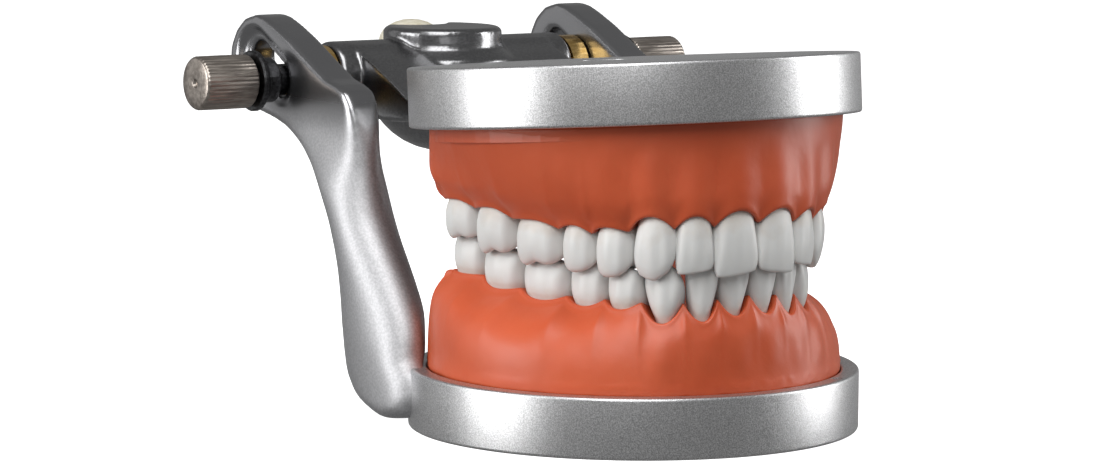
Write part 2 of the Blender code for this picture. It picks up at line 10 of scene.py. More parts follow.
import bmesh
import bpy
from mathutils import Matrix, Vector


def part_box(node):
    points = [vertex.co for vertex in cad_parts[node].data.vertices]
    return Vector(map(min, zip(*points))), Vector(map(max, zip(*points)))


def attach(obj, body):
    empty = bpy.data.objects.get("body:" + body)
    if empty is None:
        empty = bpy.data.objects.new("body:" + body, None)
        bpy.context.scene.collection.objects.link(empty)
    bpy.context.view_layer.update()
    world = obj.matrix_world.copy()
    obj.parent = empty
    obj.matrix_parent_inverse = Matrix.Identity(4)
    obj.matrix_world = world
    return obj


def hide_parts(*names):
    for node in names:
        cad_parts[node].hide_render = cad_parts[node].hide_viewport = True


MM = 0.001
SHARP = 35  # degrees between two faces, from which their edge stays sharp
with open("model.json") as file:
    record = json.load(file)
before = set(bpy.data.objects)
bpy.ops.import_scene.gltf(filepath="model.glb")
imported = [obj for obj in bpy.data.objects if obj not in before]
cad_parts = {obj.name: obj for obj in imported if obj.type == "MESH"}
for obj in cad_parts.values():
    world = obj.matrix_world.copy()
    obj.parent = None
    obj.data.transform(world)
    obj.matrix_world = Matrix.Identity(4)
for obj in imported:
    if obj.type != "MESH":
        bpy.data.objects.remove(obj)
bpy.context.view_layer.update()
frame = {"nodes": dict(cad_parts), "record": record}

KINDS = ("central_incisor", "lateral_incisor", "canine", "first_premolar",
         "second_premolar", "first_molar", "second_molar", "third_molar")
SIDES = ("right", "left")
JAWS = {"upper": -1, "lower": 1}  # which way the crowns point along Z


def box_mm(node):
    """The low and the high corner of a CAD node, in millimetres."""
    low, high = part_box(node)
    return low / MM, high / MM


def mount(name):
    """Place in millimetres and axis of one of the record's mounts."""
    found = [m for m in frame["record"]["mounts"] if m["name"] == name][0]
    return Vector(found["pos_m"]) / MM, Vector(found["axis"])


def smoothstep(a, b, x):
    """0 at a, 1 at b, level at both; a may be the larger."""
    t = min(max((x - a) / (b - a), 0.0), 1.0)
    return t * t * (3 - 2 * t)


def blend(a, b, t):
    """A number or point between a (t = 0) and b (t = 1)."""
    return a + (b - a) * t


def spline(p, t):
    """Catmull-Rom between the middle two of four values or points."""
    return 0.5 * (2 * p[1] + (p[2] - p[0]) * t
                  + (2 * p[0] - 5 * p[1] + 4 * p[2] - p[3]) * t * t
                  + (3 * p[1] - p[0] - 3 * p[2] + p[3]) * t ** 3)


# ---- materials -----------------------------------------------------------------------------
def shader_of(name):
    """A new material, its shader and a small helper that adds nodes to its tree."""
    m = bpy.data.materials.new(name)
    m.use_nodes = True
    tree = m.node_tree
    shader = tree.nodes["Principled BSDF"]

    def add(kind, links=(), **values):
        node = tree.nodes.new("ShaderNode" + kind)
        for key, value in values.items():
            if key in node.inputs:
                node.inputs[key].default_value = value
            else:
                setattr(node, key, value)
        for source, target in links:
            tree.links.new(source, node.inputs[target])
        return node

    def join(source, target):
        tree.links.new(source, shader.inputs[target])

    return m, shader, add, join


def noise(add, scale, detail=3.0, rough=0.55, stretch=(1, 1, 1)):
    """Noise in the object's own coordinates; scale is features per metre."""
    where = add("TexCoord")
    mapped = add("Mapping", [(where.outputs["Object"], "Vector")], Scale=stretch)
    return add("TexNoise", [(mapped.outputs["Vector"], "Vector")], Scale=scale,
               Detail=detail, Roughness=rough)


def ramp(add, source, low, high, at=(0.35, 0.65)):
    """A colour between low and high, as the source goes from one stop to the other."""
    node = add("ValToRGB", [(source, "Fac")])
    for stop, where, colour in zip(node.color_ramp.elements, at, (low, high)):
        stop.position = where
        stop.color = (*colour, 1) if len(colour) == 3 else colour
    return node.outputs["Color"]


def span(add, source, low, high):
    """A value between low and high, as the source goes from 0 to 1."""
    node = add("MapRange", [(source, "Value")])
    node.inputs["To Min"].default_value = low
    node.inputs["To Max"].default_value = high
    return node.outputs["Result"]


def bumped(add, join, layers):
    """Bump layers, each (height socket, depth in mm), one over the other."""
    last = None
    for height, depth in layers:
        links = [(height, "Height")]
        if last:
            links.append((last.outputs["Normal"], "Normal"))
        last = add("Bump", links, Strength=1.0, Distance=depth * MM)
    join(last.outputs["Normal"], "Normal")


def metal(name, dark, light, roughness, grain, depth, stretch=(1, 1, 1), spread=0.11,
          polished=None, metallic=1.0):
    """A metal whose colour, roughness and surface all carry the same fine grain.

    Where the mesh's polish mask is 1, a second pair takes over: a lower roughness for a real
    polish and a darker colour as painted shade.
    """
    m, shader, add, join = shader_of(name)
    shader.inputs["Metallic"].default_value = metallic
    fine = noise(add, grain, 2.0, 0.6, stretch)
    broad = noise(add, 90, 4.0, 0.6)
    colour = ramp(add, fine.outputs["Fac"], dark, light, (0.38, 0.64))
    both = add("Math", [(fine.outputs["Fac"], 0), (broad.outputs["Fac"], 1)], operation="ADD")
    mean = add("Math", [(both.outputs[0], 0)], operation="MULTIPLY")
    mean.inputs[1].default_value = 0.5
    rough = span(add, mean.outputs[0], roughness - spread, roughness + spread)
    if polished:
        # The mask's darker colour is painted shade; its lower roughness is a real polish.
        share = add("Attribute", attribute_name="polish").outputs["Fac"]
        mixed = add("MixRGB", [(share, "Fac"), (colour, "Color1")])
        mixed.inputs["Color2"].default_value = (*polished[0], 1)
        colour = mixed.outputs["Color"]
        mixed = add("MapRange", [(share, "Value"), (rough, "To Min")])
        mixed.inputs["To Max"].default_value = polished[1]
        rough = mixed.outputs["Result"]
    join(colour, "Base Color")
    join(rough, "Roughness")
    bumped(add, join, [(broad.outputs["Fac"], depth * 0.8), (fine.outputs["Fac"], depth)])
    return m


def gum_material(name):
    """Pink moulded resin, a little cloudy, with fine pores."""
    m, shader, add, join = shader_of(name)
    cloudy = noise(add, 55, 3.0, 0.5)
    pores = noise(add, 900, 3.0, 0.6)
    soft = noise(add, 190, 2.0, 0.5)
    join(ramp(add, cloudy.outputs["Fac"], (0.50, 0.074, 0.020), (0.60, 0.104, 0.036),
              (0.3, 0.7)), "Base Color")
    join(span(add, soft.outputs["Fac"], 0.36, 0.52), "Roughness")
    shader.inputs["Subsurface Weight"].default_value = 0.15
    shader.inputs["Subsurface Radius"].default_value = (1.0, 0.32, 0.2)
    shader.inputs["Subsurface Scale"].default_value = 1.6 * MM
    shader.inputs["Coat Weight"].default_value = 0.06
    shader.inputs["Coat Roughness"].default_value = 0.28
    bumped(add, join, [(soft.outputs["Fac"], 0.16), (pores.outputs["Fac"], 0.022)])
    return m


def tooth_material():
    """Light resin, a little warmer and darker where the crown leaves the gum."""
    m, shader, add, join = shader_of("tooth_resin")
    height = add("Attribute", attribute_name="crown")
    cloud = noise(add, 260, 3.0, 0.5)
    shifted = add("Math", [(height.outputs["Fac"], 0), (cloud.outputs["Fac"], 1)],
                  operation="ADD")
    join(ramp(add, shifted.outputs[0], (0.62, 0.575, 0.52), (0.69, 0.69, 0.675),
              (0.40, 0.84)), "Base Color")
    join(span(add, cloud.outputs["Fac"], 0.36, 0.5), "Roughness")
    shader.inputs["Subsurface Weight"].default_value = 0.12
    shader.inputs["Subsurface Radius"].default_value = (1.0, 0.85, 0.7)
    shader.inputs["Subsurface Scale"].default_value = 0.8 * MM
    fine = noise(add, 1500, 2.0, 0.5)
    bumped(add, join, [(cloud.outputs["Fac"], 0.05), (fine.outputs["Fac"], 0.006)])
    return m


ALLOY = metal("blasted_alloy", (0.42, 0.42, 0.425), (0.76, 0.76, 0.765), 0.38, 5200, 0.030,
              spread=0.05)
# The arms' alloy: blasted on the columns; on the heads polished smooth, with a darker colour
# there as painted shade.
CAST = metal("cast_alloy", (0.40, 0.40, 0.41), (0.50, 0.50, 0.51), 0.54, 2600, 0.003, spread=0.04,
             polished=((0.32, 0.32, 0.33), 0.27))
# The bridge's alloy: a real polish in its low roughness, and a darker colour that is painted
# shade for the dark the hub and tube mirror.
POLISHED_SHADED_ALLOY = metal("polished_alloy", (0.20, 0.20, 0.205), (0.27, 0.27, 0.275), 0.25, 2600, 0.002,
                 spread=0.03)
NICKEL = metal("nickel", (0.30, 0.265, 0.235), (0.48, 0.43, 0.385), 0.36, 1500, 0.008,
               (0.15, 1, 1))
# Near-black steel for the slide bushes and washers: painted shade for the dark recess between
# thumb nut and arm.
SHADE_DARK_STEEL = metal("dark_steel", (0.05, 0.05, 0.052), (0.11, 0.11, 0.115), 0.30, 1500, 0.006)
BRASS = metal("brass", (0.60, 0.38, 0.12), (0.80, 0.55, 0.22), 0.24, 1500, 0.008, (0.3, 1, 1))
DOME = metal("pale_brass", (0.80, 0.74, 0.56), (0.90, 0.85, 0.70), 0.34, 900, 0.004,
             metallic=0.35)
STEEL = metal("steel", (0.42, 0.42, 0.43), (0.62, 0.62, 0.63), 0.27, 1800, 0.008, (0.2, 1, 1))
GUM = gum_material("gum")
BASE = gum_material("jaw_base_resin")
TOOTH = tooth_material()


# ---- mesh helpers --------------------------------------------------------------------------
def finish_piece(obj, look, body, slot, *nodes):
    """Gives a piece its material and body, and hides the CAD nodes it stands for; slot is not
    used.
    """
    obj.data.materials.clear()
    obj.data.materials.append(look)
    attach(obj, body)
    if nodes:
        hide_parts(*nodes)
    return obj


def mesh_object(name, points, faces, sharp=None):
    """A mesh from points in millimetres, facing out, smooth but for edges past sharp degrees."""
    mesh = bpy.data.meshes.new(name)
    mesh.from_pydata([tuple(c * MM for c in p) for p in points], [], faces)
    bm = bmesh.new()
    bm.from_mesh(mesh)
    bmesh.ops.recalc_face_normals(bm, faces=bm.faces)
    bm.to_mesh(mesh)
    bm.free()
    mesh.shade_smooth()
    if sharp:
        mesh.set_sharp_from_angle(angle=math.radians(sharp))
    obj = bpy.data.objects.new(name, mesh)
    bpy.context.scene.collection.objects.link(obj)
    return obj


def loft(name, rings, sharp=None):
    """Closed skin over rings of points, ending in a fan at each end."""
    n = len(rings[0])
    points = [p for ring in rings for p in ring]
    faces = []
    for i in range(len(rings) - 1):
        for k in range(n):
            j = (k + 1) % n
            faces.append((i * n + k, i * n + j, (i + 1) * n + j, (i + 1) * n + k))
    for ring, first in ((rings[0], 0), (rings[-1], len(points) - n)):
        middle = tuple(sum(p[c] for p in ring) / n for c in range(3))
        points.append(middle)
        last = len(points) - 1
        faces += [(first + k, first + (k + 1) % n, last) for k in range(n)]
    return mesh_object(name, points, faces, sharp)


def lathe(name, profile, steps, place=None, sharp=SHARP):
    """(radius, height) pairs turned about Z, from the axis back to the axis."""
    points, rings = [], []
    for r, z in profile:
        if r == 0:
            points.append((0, 0, z))
            rings.append([len(points) - 1] * steps)
            continue
        start = len(points)
        points += [(r * math.cos(2 * math.pi * k / steps),
                    r * math.sin(2 * math.pi * k / steps), z) for k in range(steps)]
        rings.append(list(range(start, start + steps)))
    faces = []
    for a, b in zip(rings, rings[1:]):
        for k in range(steps):
            j = (k + 1) % steps
            face = []
            for v in (a[k], a[j], b[j], b[k]):
                if v not in face:
                    face.append(v)
            if len(face) > 2:
                faces.append(face)
    if place:
        points = [place(p) for p in points]
    return mesh_object(name, points, faces, sharp)


def rounded(profile, radius, per=4):
    """The profile with its inner corners replaced by small arcs."""
    out = [profile[0]]
    for a, b, c in zip(profile, profile[1:], profile[2:]):
        before, after = math.dist(a, b), math.dist(b, c)
        cut = min(radius, before / 2.2, after / 2.2)
        p = [b[k] + (a[k] - b[k]) * cut / before for k in (0, 1)]
        q = [b[k] + (c[k] - b[k]) * cut / after for k in (0, 1)]
        for i in range(per + 1):
            t = i / per
            out.append(tuple(p[k] * (1 - t) ** 2 + 2 * b[k] * t * (1 - t) + q[k] * t * t
                             for k in (0, 1)))
    return out + [profile[-1]]


# ---- the frame's own measures --------------------------------------------------------------
base_low, base_high = box_mm("lower_jaw_base")
cup_pin_high = box_mm("cup_pin")[1]
top_at, top_axis = mount("top_face")
TILT = math.atan2(top_axis.y, top_axis.z)
axle_low, axle_high = box_mm("hinge_axle")
HINGE_Y, HINGE_Z = (axle_low.y + axle_high.y) / 2, (axle_low.z + axle_high.z) / 2
CUP_R = -box_mm("lower_frame")[0].y
GAP = 0.3  # clearance between separate pieces in the CAD
CUP_H = cup_pin_high.z + GAP
BASE_R = base_high.x
CUP_IN = BASE_R + GAP
CUP_FLOOR = base_low.z - GAP
CUP_ROUND = 0.55
ARM_FRONT, NECK_FRONT = 16.0, 30.0  # the castings' free parts lie behind these
SLOT_ANGLE, SLOT_TRAVEL = math.radians(27.5), 7.5


def upper_place(p):
    """From the upper cup's own frame (outer face at z = 0, bowl below) to the row frame."""
    c, s = math.cos(TILT), math.sin(TILT)
    x, y, z = p
    return (x, top_at.y + y * c + z * s, top_at.z - y * s + z * c)


def upper_forth(p):
    """From a cup standing on its closed face to the upper cup's place in the row frame."""
    return upper_place((p[0], p[1], -p[2]))


def upper_back(p):
    """The way back from upper_forth."""
    c, s = math.cos(TILT), math.sin(TILT)
    y, z = p[1] - top_at.y, p[2] - top_at.z
    return p[0], y * c - z * s, -(y * s + z * c)


def rim_z(upper, y):
    """Height of a cup's open rim at y."""
    if not upper:
        return CUP_H
    return upper_place((0, y, -CUP_H))[2]


# ---- cups ----------------------------------------------------------------------------------
def cup_profile():
    """Half section of a cup standing on its closed face."""
    floor_step = 0.5
    return rounded([
        (0, 0), (CUP_R, 0), (CUP_R, CUP_H), (CUP_IN, CUP_H), (CUP_IN, CUP_FLOOR + floor_step),
        (CUP_IN - floor_step, CUP_FLOOR), (0, CUP_FLOOR)], CUP_ROUND)


def apply_modifiers(obj):
    """Makes what an object's modifiers give its own mesh."""
    bpy.context.view_layer.update()
    graph = bpy.context.evaluated_depsgraph_get()
    done = bpy.data.meshes.new_from_object(obj.evaluated_get(graph))
    obj.modifiers.clear()
    obj.data = done
    done.shade_smooth()


def bored(cup, profile, place):
    """Cuts a turned hole, given as (radius, height) pairs, into a cup."""
    hole = lathe("hole", profile, 48, place)
    cut = cup.modifiers.new("Hole", "BOOLEAN")
    cut.operation = "DIFFERENCE"
    cut.solver = "EXACT"
    cut.object = hole
    apply_modifiers(cup)
    cup.data.set_sharp_from_angle(angle=math.radians(SHARP))
    bpy.data.objects.remove(hole, do_unlink=True)


def make_cups():
    """Both cups, turned and bored, each standing for its casting's cup."""
    head, depth, shank, through, clear = 4.2, 1.8, 2.3, 8.0, 2
    screw_hole = [(0, -clear), (head, -clear), (head, depth), (shank, depth), (shank, through),
                  (0, through)]
    lower = lathe("lower_cup", cup_profile(), 192)
    upper = lathe("upper_cup", [(r, -z) for r, z in cup_profile()], 192, upper_place)
    for jaw, cup, forth, back in (("lower", lower, tuple, tuple),
                                  ("upper", upper, upper_forth, upper_back)):
        low, high = box_mm(jaw + "_jaw_screw")
        at_y = back((low + high) / 2)[1]
        bored(cup, screw_hole, lambda p: forth((p[0], p[1] + at_y, p[2])))
        finish_piece(cup, ALLOY, jaw + "_jaw", "frame_alloy")
    low, high = box_mm("cup_pin")
    pin, hole_r, floor, top = (low + high) / 2, 0.95, low.z - 0.4, CUP_H + clear
    bored(lower, [(0, floor), (hole_r, floor), (hole_r, top), (0, top)],
          lambda p: (p[0] + pin.x, p[1] + pin.y, p[2]))


def tuck(mesh, place_back, place):
    """Pulls what lies in a cup's wall under its skin, so that only the cup's own wall shows."""
    skin, below, deep = 0.15, 0.2, 0.4
    for v in mesh.vertices:
        x, y, z = place_back(v.co / MM)
        r = math.hypot(x, y)
        if r > CUP_R + skin or not -below < z < CUP_H + skin:
            continue
        shrink = min(1.0, (CUP_R - deep) / r)
        z = min(max(z, deep), CUP_H - deep)
        v.co = Vector(place((x * shrink, y * shrink, z))) * MM
    mesh.update()


def casting(name, node, body, look, voxel, passes, keep_out):
    """A CAD casting without its cup, its edges rounded off as a mould leaves them."""
    mesh = frame["nodes"][node].data.copy()
    mesh.name = name
    obj = bpy.data.objects.new(name, mesh)
    bpy.context.scene.collection.objects.link(obj)
    for helper in keep_out:
        cut = obj.modifiers.new("Cup", "BOOLEAN")
        cut.operation = "DIFFERENCE"
        cut.solver = "EXACT"
        cut.object = helper
    weld = obj.modifiers.new("Weld", "WELD")
    weld.merge_threshold = 0.01 * MM
    remesh = obj.modifiers.new("Voxels", "REMESH")
    remesh.mode = "VOXEL"
    remesh.voxel_size = voxel * MM
    soft = obj.modifiers.new("Rounding", "SMOOTH")
    soft.factor = 0.5
    soft.iterations = passes
    apply_modifiers(obj)
    return finish_piece(obj, look, body, "frame_alloy", node)


def shape_arms(arms):
    """Turns the arms' flat columns into stout ovals and sinks the faces round their slots."""
    points = [v.co / MM for v in arms.data.vertices]
    in_arm = [p for p in points if p.y > ARM_FRONT]
    inner = min(abs(p.x) for p in in_arm if p.z > HINGE_Z)
    outer = max(abs(p.x) for p in in_arm)
    middle, half = (inner + outer) / 2, (outer - inner) / 2
    spans = {}  # the arm's front and rear edge in each millimetre of height
    for p in in_arm:
        if abs(p.x) > inner:
            low, high = spans.get(int(p.z), (math.inf, -math.inf))
            spans[int(p.z)] = (min(low, p.y), max(high, p.y))
    window = 4

    def span_at(z, end):
        near = [spans[k][end] for k in range(int(z) - window, int(z) + window + 1) if k in spans]
        return sum(near) / len(near)

    column_half, widen = 5.5, 1.03  # half thickness of the column, outwards
    hub_clear = 1.2  # what lies further inwards than this belongs to the cup
    column_top, head_start = HINGE_Z - 18, HINGE_Z - 4
    # where the heads turn smoother (a real polish) and darker (painted shade)
    polish_shade_low, polish_shade_high = HINGE_Z - 9, HINGE_Z - 2
    flare, flare_low, flare_high = 8.0, CUP_H - 2, 31.0
    rim_inside, rim_deeper = CUP_IN + 0.35, 0.8
    foot_lift, foot_round, foot_top = 0.6, 1.6, 9.0
    slot_start = Vector((HINGE_Y, HINGE_Z))
    slot_run = Vector((math.cos(SLOT_ANGLE), math.sin(SLOT_ANGLE)))
    sunk, sunk_from, sunk_to = 1.3, 4.4, 5.9

    column = arms.vertex_groups.new(name="column")
    for v, p in zip(arms.data.vertices, points):
        column.add([v.index], 1 - smoothstep(head_start - 2, head_start + 3, p.z), "REPLACE")
        if abs(p.x) < inner - hub_clear or p.y < ARM_FRONT:
            continue
        share = 1 - smoothstep(column_top, head_start, p.z)
        front, rear = span_at(p.z, 0), span_at(p.z, 1)
        y_mid, y_half = (front + rear) / 2, (rear - front) / 2
        a = max(min((abs(p.x) - middle) / half, 1.0), -1.0)
        b = max(min((p.y - y_mid) / y_half, 1.0), -1.0)
        thick = blend(half, column_half, share)
        oval_x = middle + thick * a * math.sqrt(1 - b * b / 2)
        oval_y = y_mid + y_half * widen * b * math.sqrt(1 - a * a / 2)
        x, y = blend(abs(p.x), oval_x, share), blend(p.y, oval_y, share)
        z = p.z
        if z < flare_high:
            # the front edge flares down along the cup's rim, outside the gum
            y -= flare * (1 - smoothstep(flare_low, flare_high, z)) * (1 - b) / 2
            r = math.hypot(x, y)
            least = rim_inside + smoothstep(CUP_H + 1, CUP_H - 1, z) * rim_deeper
            if r < least:
                x, y = x * least / r, y * least / r
            z += (foot_lift + foot_round * max(b, 0) ** 2) * (1 - smoothstep(0, foot_top, z))
        if a > 0 and p.z > head_start:
            from_start = Vector((p.y, p.z)) - slot_start
            along = min(max(from_start.dot(slot_run), 0.0), SLOT_TRAVEL)
            away = (from_start - slot_run * along).length
            x -= sunk * (1 - smoothstep(sunk_from, sunk_to, away)) * a
        v.co = Vector((math.copysign(x, p.x), y, z)) * MM
    arms.data.update()
    # polish mask: 0 on the column, 1 on the head, which is smoother there and darker as painted
    # shade
    polish = arms.data.attributes.new("polish", "FLOAT", "POINT")
    polish.data.foreach_set("value", [smoothstep(polish_shade_low, polish_shade_high, p.z) for p in points])
    for name, turns, group in (("Relax column", 70, "column"), ("Relax", 5, "")):
        relax = arms.modifiers.new(name, "SMOOTH")
        relax.factor = 0.5
        relax.iterations = turns
        relax.vertex_group = group


def block(name, low, high):
    """A box between two corners, for cutting."""
    (x0, y0, z0), (x1, y1, z1) = low, high
    points = [(x, y, z) for x in (x0, x1) for y in (y0, y1) for z in (z0, z1)]
    return mesh_object(name, points, [(0, 1, 3, 2), (4, 6, 7, 5), (0, 4, 5, 1), (2, 3, 7, 6),
                                      (0, 2, 6, 4), (1, 5, 7, 3)])


def make_castings():
    """The arms and the bridge, cut free of the cups but still reaching into their walls."""
    overlap, reach = 1.0, 60.0
    keep_r, below, above = CUP_R - overlap, -2, CUP_H + 1
    cup_space = [(0, below), (keep_r, below), (keep_r, above), (0, above)]
    low = lathe("lower_keep_out", cup_space, 96)
    high = lathe("upper_keep_out", [(r, -z) for r, z in cup_space], 96, upper_place)
    fronts = [block("front_of_arms", (-reach, -reach, -reach), (reach, ARM_FRONT, reach)),
              block("front_of_neck", (-reach, -reach, -reach), (reach, NECK_FRONT, reach * 2))]
    arms = casting("lower_arms", "lower_frame", "lower_jaw", CAST, 0.42, 10, [low, fronts[0]])
    shape_arms(arms)
    bridge = casting("upper_bridge", "upper_frame", "upper_jaw", POLISHED_SHADED_ALLOY, 0.38, 7,
                     [high, fronts[1]])
    tuck(arms.data, tuple, tuple)
    tuck(bridge.data, upper_back, upper_forth)
    for helper in (low, high, *fronts):
        bpy.data.objects.remove(helper, do_unlink=True)


# ---- teeth ---------------------------------------------------------------------------------
PEG = 5.0  # length of the peg below each CAD crown
EMBED = 1.3  # how far a crown reaches into the gum
AROUND = 44

# Per kind: (height, half width, facial reach, lingual reach) from neck to tip, as shares of
# the CAD crown's height and half sizes
INCISOR = [(0.00, 0.80, 0.86, -0.70), (0.10, 0.86, 0.93, -0.88), (0.26, 0.93, 0.99, -0.96),
           (0.45, 0.98, 1.0, -0.66), (0.64, 1.0, 0.98, -0.22), (0.80, 1.0, 0.92, 0.10),
           (0.92, 0.97, 0.85, 0.28), (1.0, 0.89, 0.78, 0.40)]
LOWER_INCISOR = [(0.00, 0.56, 0.74, -0.70), (0.12, 0.64, 0.84, -0.86),
                 (0.28, 0.75, 0.94, -0.88), (0.48, 0.87, 0.99, -0.46), (0.68, 0.96, 1.0, -0.06),
                 (0.84, 1.0, 0.95, 0.20), (0.94, 0.98, 0.88, 0.36), (1.0, 0.91, 0.80, 0.46)]
CANINE = [(0.00, 0.74, 0.84, -0.74), (0.12, 0.84, 0.94, -0.92), (0.30, 0.94, 1.0, -0.98),
          (0.50, 0.99, 0.99, -0.68), (0.68, 1.0, 0.93, -0.30), (0.84, 0.95, 0.84, 0.02),
          (0.94, 0.85, 0.74, 0.20), (1.0, 0.72, 0.64, 0.30)]
LOWER_CANINE = [(0.00, 0.50, 0.76, -0.70), (0.12, 0.64, 0.88, -0.88), (0.30, 0.82, 0.98, -0.92),
                (0.52, 0.95, 1.0, -0.60), (0.70, 1.0, 0.96, -0.24), (0.84, 0.98, 0.88, 0.04),
                (0.94, 0.88, 0.78, 0.22), (1.0, 0.74, 0.68, 0.32)]
PREMOLAR = [(0.00, 0.84, 0.87, -0.80), (0.14, 0.91, 0.95, -0.90), (0.34, 0.98, 1.0, -0.98),
            (0.56, 1.0, 1.0, -1.0), (0.74, 1.0, 0.96, -0.94), (0.88, 0.96, 0.89, -0.84),
            (0.97, 0.86, 0.80, -0.72), (1.0, 0.76, 0.72, -0.62)]
MOLAR = [(0.00, 0.90, 0.89, -0.84), (0.14, 0.95, 0.96, -0.92), (0.34, 0.99, 1.0, -0.99),
         (0.56, 1.0, 1.0, -1.0), (0.74, 1.0, 0.96, -0.93), (0.88, 0.97, 0.89, -0.84),
         (0.97, 0.90, 0.81, -0.74), (1.0, 0.82, 0.73, -0.66)]


def edged(fall):
    """A cutting edge whose corners fall away; a runs along the row and b outwards."""
    return lambda a, _: 1 - fall * abs(a) ** 4


def pointed(a, _):
    """A canine's single blunt tip, which falls away to both sides."""
    fall, blunt = 0.20, 0.245
    return 1 - fall * (math.sqrt(a * a + 0.06) - blunt) / (1.03 - blunt)


def cusped(peaks, spread, floor):
    """Height over the biting face: rounded cusps (a, b, rise) round a lower centre."""
    def height(a, b):
        total = sum((rise * math.exp(-(a - u) ** 2 / spread[0] - (b - v) ** 2 / spread[1])) ** 3
                    for u, v, rise in peaks)
        return floor + total ** (1 / 3)
    return height


# The upper facial cusps hang outside the lower ones, which reach up between the upper rows
UPPER_TWO = cusped([(0.0, 0.72, 0.31), (0.0, -0.52, 0.20)], (2.2, 0.34), 0.80)
LOWER_TWO = cusped([(0.0, 0.50, 0.40), (0.0, -0.55, 0.12)], (3.0, 0.45), 0.93)
UPPER_FOUR = cusped([(-0.46, 0.70, 0.29), (0.46, 0.68, 0.27), (-0.46, -0.52, 0.20),
                     (0.46, -0.52, 0.16)], (0.34, 0.34), 0.82)
LOWER_FOUR = cusped([(-0.55, 0.52, 0.28), (0.02, 0.54, 0.27), (0.58, 0.50, 0.25),
                     (-0.48, -0.5, 0.12), (0.46, -0.5, 0.10)], (0.28, 0.40), 0.93)
SHAPES = {  # profile, biting face, squareness of the section (less is squarer)
    "upper incisor": (INCISOR, edged(0.055), 0.74),
    "lower incisor": (LOWER_INCISOR, edged(0.045), 0.8),
    "upper canine": (CANINE, pointed, 0.84), "lower canine": (LOWER_CANINE, pointed, 0.84),
    "upper premolar": (PREMOLAR, UPPER_TWO, 0.76), "lower premolar": (PREMOLAR, LOWER_TWO, 0.76),
    "upper molar": (MOLAR, UPPER_FOUR, 0.68), "lower molar": (MOLAR, LOWER_FOUR, 0.68)}


def shape_of(kind, jaw):
    """The entry of SHAPES for a kind of tooth."""
    return SHAPES[f"{jaw} {kind.split('_')[-1]}"]


def sample(profile, v):
    """A profile read at height v with smooth steps between its rows."""
    i = max(k for k, row in enumerate(profile[:-1]) if row[0] <= v)
    p = [profile[min(max(i + k, 0), len(profile) - 1)] for k in (-1, 0, 1, 2)]
    t = (v - p[1][0]) / (p[2][0] - p[1][0])
    return [spline(four, t) for four in zip(*p)][1:]


class Seat:
    """Where one CAD tooth stands: its own axes, half sizes, margin and tip."""

    def __init__(self, jaw, name):
        self.jaw, self.name = jaw, name
        self.up = JAWS[jaw]
        points = [v.co / MM for v in frame["nodes"][name].data.vertices]
        heights = [self.up * p.z for p in points]
        start = min(heights) + PEG
        self.tip = self.up * max(heights)
        self.margin = self.up * (start - 0.3)
        above = [p for p in points if self.up * p.z > start + 0.5]
        self.crown = above  # the CAD tooth's points above its neck
        self.middle = Vector([sum(p[c] for p in above) / len(above) for c in (0, 1)])

    def face(self, before, after):
        """Sets the axes from the neighbours' middles and measures the crown along them."""
        self.along = (after - before).normalized()
        self.out = Vector((-self.along.y, self.along.x))
        if self.out.dot(self.middle) < 0:
            self.out = -self.out
        a = [(p.xy - self.middle).dot(self.along) for p in self.crown]
        b = [(p.xy - self.middle).dot(self.out) for p in self.crown]
        self.half_a, self.half_b = (max(a) - min(a)) / 2 * 1.02, (max(b) - min(b)) / 2
        shift_a, shift_b = (max(a) + min(a)) / 2, (max(b) + min(b)) / 2
        self.centre = self.middle + self.along * shift_a + self.out * shift_b

    def at(self, a, b, z):
        """The point at a half widths along the row and b half depths outwards."""
        p = self.centre + self.along * a * self.half_a + self.out * b * self.half_b
        return (p.x, p.y, z)


def seats_of(jaw):
    """The row from the right third molar round to the left one."""
    names = [f"{jaw}_right_{k}" for k in reversed(KINDS)] + [f"{jaw}_left_{k}" for k in KINDS]
    row = [Seat(jaw, name) for name in names]
    for i, seat in enumerate(row):
        before = row[max(i - 1, 0)].middle
        after = row[min(i + 1, len(row) - 1)].middle
        seat.face(before, after)
    return row


